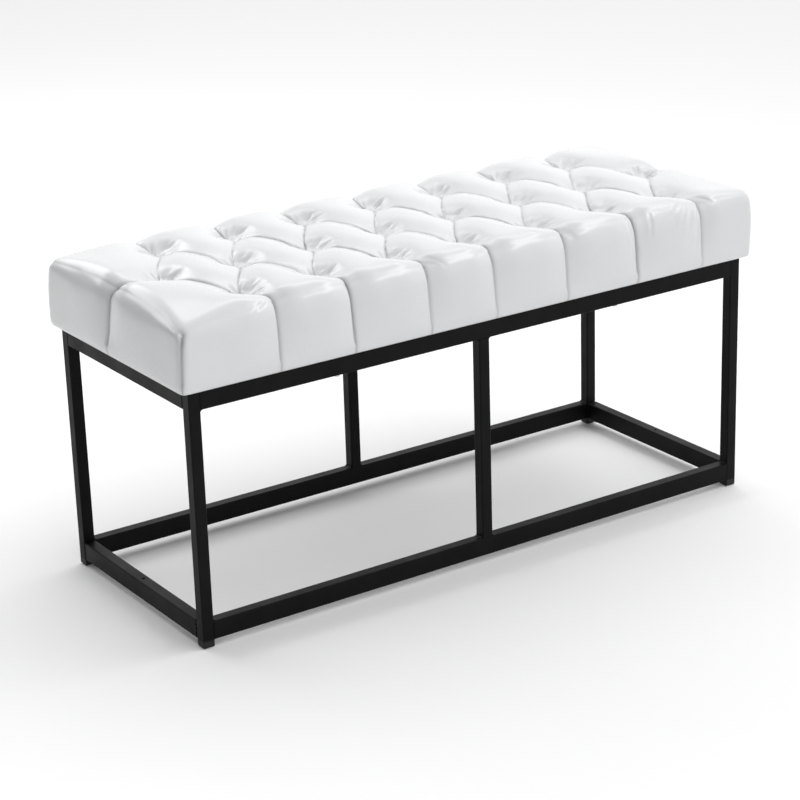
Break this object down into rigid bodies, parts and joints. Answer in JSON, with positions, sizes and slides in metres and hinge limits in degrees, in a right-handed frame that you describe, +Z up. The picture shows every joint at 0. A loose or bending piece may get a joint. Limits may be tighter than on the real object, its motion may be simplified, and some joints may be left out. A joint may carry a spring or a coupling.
{
  "type": "piano bench",
  "caption": "Long backless bench: a box-shaped seat with deep diamond tufting on an open box frame of slim square tube.",
  "frame": {"origin": "on the floor, under the middle of the bench", "axes": "+X along the bench's length, +Y from its front to its back, +Z up"},
  "size_m": [1.001, 0.392, 0.49],
  "materials": {
    "black_steel": "satin",
    "black_fastener": "satin",
    "zinc_steel": "satin",
    "black_plastic": "matte",
    "faux_leather": "gloss",
    "plywood": "matte",
    "foam": "matte",
    "wadding": "matte",
    "button_plastic": "satin",
    "twine": "matte",
    "fibre": "matte",
    "dust_cloth": "matte"
  },
  "bodies": {
    "root": {"leg_front_left": "black_steel", "leg_front_right": "black_steel", "leg_rear_left": "black_steel", "leg_rear_right": "black_steel", "mid_leg_front": "black_steel", "mid_leg_rear": "black_steel", "top_rail_front": "black_steel", "top_rail_rear": "black_steel", "top_rail_left": "black_steel", "top_rail_right": "black_steel", "bottom_rail_front": "black_steel", "bottom_rail_rear": "black_steel", "bottom_rail_left": "black_steel", "bottom_rail_right": "black_steel", "frame_welds": "black_steel", "rail_spigots": "zinc_steel", "spigot_nuts": "zinc_steel", "spigot_bolts": "black_fastener", "leg_top_plugs": "black_plastic", "foot_front_left": "black_plastic", "foot_front_right": "black_plastic", "foot_rear_left": "black_plastic", "foot_rear_right": "black_plastic", "seat_board": "plywood", "seat_foam": "foam", "seat_wadding": "wadding", "seat_cover": "faux_leather", "tuft_buttons": "button_plastic", "tuft_twines": "twine", "tuft_washers": "fibre", "dust_cloth": "dust_cloth", "cover_staples": "zinc_steel", "dust_staples": "zinc_steel", "seat_screws": "zinc_steel", "screw_washers": "zinc_steel"}
  },
  "joints": []
}
